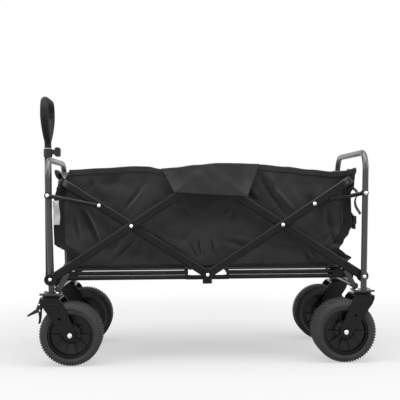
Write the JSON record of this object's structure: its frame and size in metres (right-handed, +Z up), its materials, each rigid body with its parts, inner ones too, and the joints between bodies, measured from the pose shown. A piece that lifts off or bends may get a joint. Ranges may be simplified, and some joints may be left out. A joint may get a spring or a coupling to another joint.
{
  "type": "folding transport cart",
  "caption": "Folding transport cart on swivel casters, with scissor sides, a fabric basket, a folding floor and a telescoping pull handle.",
  "frame": {"origin": "floor, in the middle of the cart's overall length and width", "axes": "+Z up, the handle end faces -X, the cart's left side is -Y"},
  "size_m": [1.013, 0.522, 0.798],
  "materials": {
    "tread_rubber": "fine dark tread",
    "basket_cloth": "black woven polyester",
    "rim_plastic": "glossy black",
    "board_cloth": "black cloth over stiff board",
    "grip_foam": "soft black grip",
    "black_plastic": "moulded black",
    "black_paint": "satin black powder coat"
  },
  "bodies": {
    "front_frame": {"front_frame": "black_paint", "front_beam": "black_paint", "front_panel": "basket_cloth", "handle_bracket": "black_paint", "basket_side_left": "basket_cloth", "basket_side_right": "basket_cloth", "basket_flap_left": "basket_cloth", "basket_flap_right": "basket_cloth"},
    "front_bars": {"front_bar_left": "black_paint", "front_bar_right": "black_paint"},
    "front_hoop": {"front_hoop": "black_paint", "front_rim_sleeve": "basket_cloth"},
    "rear_hoop": {"rear_hoop": "black_paint", "rear_rim_sleeve": "basket_cloth"},
    "rear_bars": {"rear_bar_left": "black_paint", "rear_bar_right": "black_paint"},
    "rear_frame": {"rear_frame": "black_paint", "rear_beam": "black_paint", "rear_panel": "basket_cloth"},
    "front_links": {"front_link_left": "black_paint", "front_link_right": "black_paint"},
    "rear_links": {"rear_link_left": "black_paint", "rear_link_right": "black_paint"},
    "front_floor": {"front_rail_frame": "black_paint", "front_floor_board": "board_cloth"},
    "rear_floor": {"rear_rail_frame": "black_paint", "rear_floor_board": "board_cloth"},
    "middle_bracket": {"middle_bracket": "black_paint", "middle_floor_board": "board_cloth"},
    "handle": {"handle_tube": "black_paint", "handle_collar": "black_plastic"},
    "handle_pull": {"handle_rod": "black_paint", "handle_grip": "grip_foam"},
    "front_caster_left": {"front_yoke_left": "black_paint", "front_brake_left": "black_plastic"},
    "front_wheel_left": {"front_tyre_left": "tread_rubber", "front_rim_left": "rim_plastic"},
    "front_caster_right": {"front_yoke_right": "black_paint", "front_brake_right": "black_plastic"},
    "front_wheel_right": {"front_tyre_right": "tread_rubber", "front_rim_right": "rim_plastic"},
    "rear_caster_left": {"rear_yoke_left": "black_paint"},
    "rear_wheel_left": {"rear_tyre_left": "tread_rubber", "rear_rim_left": "rim_plastic"},
    "rear_caster_right": {"rear_yoke_right": "black_paint"},
    "rear_wheel_right": {"rear_tyre_right": "tread_rubber", "rear_rim_right": "rim_plastic"}
  },
  "joints": [
    {"name": "fold", "type": "hinge", "parent": "front_frame", "child": "front_bars", "pos_m": [-0.43849, 0, 0.248], "axis": [0, -1, 0], "range_deg": [0, 40], "deforming": ["basket_side_left", "basket_side_right", "basket_flap_left", "basket_flap_right"]},
    {"name": "front_hoop_turn", "type": "hinge", "parent": "front_bars", "child": "front_hoop", "pos_m": [-0.20241, 0, 0.40132], "axis": [0, -1, 0], "range_deg": [-80, 0]},
    {"name": "rear_hoop_turn", "type": "hinge", "parent": "front_hoop", "child": "rear_hoop", "pos_m": [0.0185, 0, 0.25786], "axis": [0, -1, 0], "range_deg": [0, 80]},
    {"name": "rear_bars_turn", "type": "hinge", "parent": "rear_hoop", "child": "rear_bars", "pos_m": [0.23941, 0, 0.40132], "axis": [0, -1, 0], "range_deg": [-80, 0]},
    {"name": "rear_frame_turn", "type": "hinge", "parent": "rear_bars", "child": "rear_frame", "pos_m": [0.47549, 0, 0.248], "axis": [0, -1, 0], "range_deg": [0, 40]},
    {"name": "front_links_turn", "type": "hinge", "parent": "front_frame", "child": "front_links", "pos_m": [-0.44445, 0, 0.49193], "axis": [0, -1, 0], "range_deg": [0, 77.6]},
    {"name": "rear_links_turn", "type": "hinge", "parent": "rear_frame", "child": "rear_links", "pos_m": [0.48145, 0, 0.49193], "axis": [0, -1, 0], "range_deg": [-77.6, 0]},
    {"name": "front_floor_turn", "type": "hinge", "parent": "front_frame", "child": "front_floor", "pos_m": [-0.39349, 0, 0.2615], "axis": [0, -1, 0], "range_deg": [0, 90]},
    {"name": "rear_floor_turn", "type": "hinge", "parent": "rear_frame", "child": "rear_floor", "pos_m": [0.43049, 0, 0.2615], "axis": [0, -1, 0], "range_deg": [-90, 0]},
    {"name": "middle_bracket_turn", "type": "hinge", "parent": "front_hoop", "child": "middle_bracket", "pos_m": [0.0185, 0, 0.25786], "axis": [0, -1, 0], "range_deg": [0, 40]},
    {"name": "handle_tilt", "type": "hinge", "parent": "front_frame", "child": "handle", "pos_m": [-0.47249, 0, 0.228], "axis": [0, -1, 0], "range_deg": [0, 90]},
    {"name": "handle_slide", "type": "slide", "parent": "handle", "child": "handle_pull", "axis": [0, 0, 1], "range_m": [0, 0.22]},
    {"name": "front_swivel_left", "type": "hinge", "parent": "front_frame", "child": "front_caster_left", "pos_m": [-0.43849, -0.2, 0.196], "axis": [0, 0, 1], "continuous": true},
    {"name": "front_wheel_spin_left", "type": "hinge", "parent": "front_caster_left", "child": "front_wheel_left", "pos_m": [-0.37899, -0.2, 0.0905], "axis": [0, 1, 0], "continuous": true},
    {"name": "front_swivel_right", "type": "hinge", "parent": "front_frame", "child": "front_caster_right", "pos_m": [-0.43849, 0.2, 0.196], "axis": [0, 0, 1], "continuous": true},
    {"name": "front_wheel_spin_right", "type": "hinge", "parent": "front_caster_right", "child": "front_wheel_right", "pos_m": [-0.37899, 0.2, 0.0905], "axis": [0, 1, 0], "continuous": true},
    {"name": "rear_swivel_left", "type": "hinge", "parent": "rear_frame", "child": "rear_caster_left", "pos_m": [0.47549, -0.2, 0.196], "axis": [0, 0, 1], "continuous": true},
    {"name": "rear_wheel_spin_left", "type": "hinge", "parent": "rear_caster_left", "child": "rear_wheel_left", "pos_m": [0.41599, -0.2, 0.0905], "axis": [0, 1, 0], "continuous": true},
    {"name": "rear_swivel_right", "type": "hinge", "parent": "rear_frame", "child": "rear_caster_right", "pos_m": [0.47549, 0.2, 0.196], "axis": [0, 0, 1], "continuous": true},
    {"name": "rear_wheel_spin_right", "type": "hinge", "parent": "rear_caster_right", "child": "rear_wheel_right", "pos_m": [0.41599, 0.2, 0.0905], "axis": [0, 1, 0], "continuous": true}
  ],
  "couplings": [
    {"joint": "front_hoop_turn", "follows": "fold", "ratio": -2},
    {"joint": "rear_hoop_turn", "follows": "fold", "ratio": 2},
    {"joint": "rear_bars_turn", "follows": "fold", "ratio": -2},
    {"joint": "rear_frame_turn", "follows": "fold", "ratio": 1},
    {"joint": "front_links_turn", "follows": "fold", "ratio": 1.94},
    {"joint": "rear_links_turn", "follows": "fold", "ratio": -1.94},
    {"joint": "front_floor_turn", "follows": "fold", "ratio": 2.25},
    {"joint": "rear_floor_turn", "follows": "fold", "ratio": -2.25},
    {"joint": "middle_bracket_turn", "follows": "fold", "ratio": 1}
  ]
}
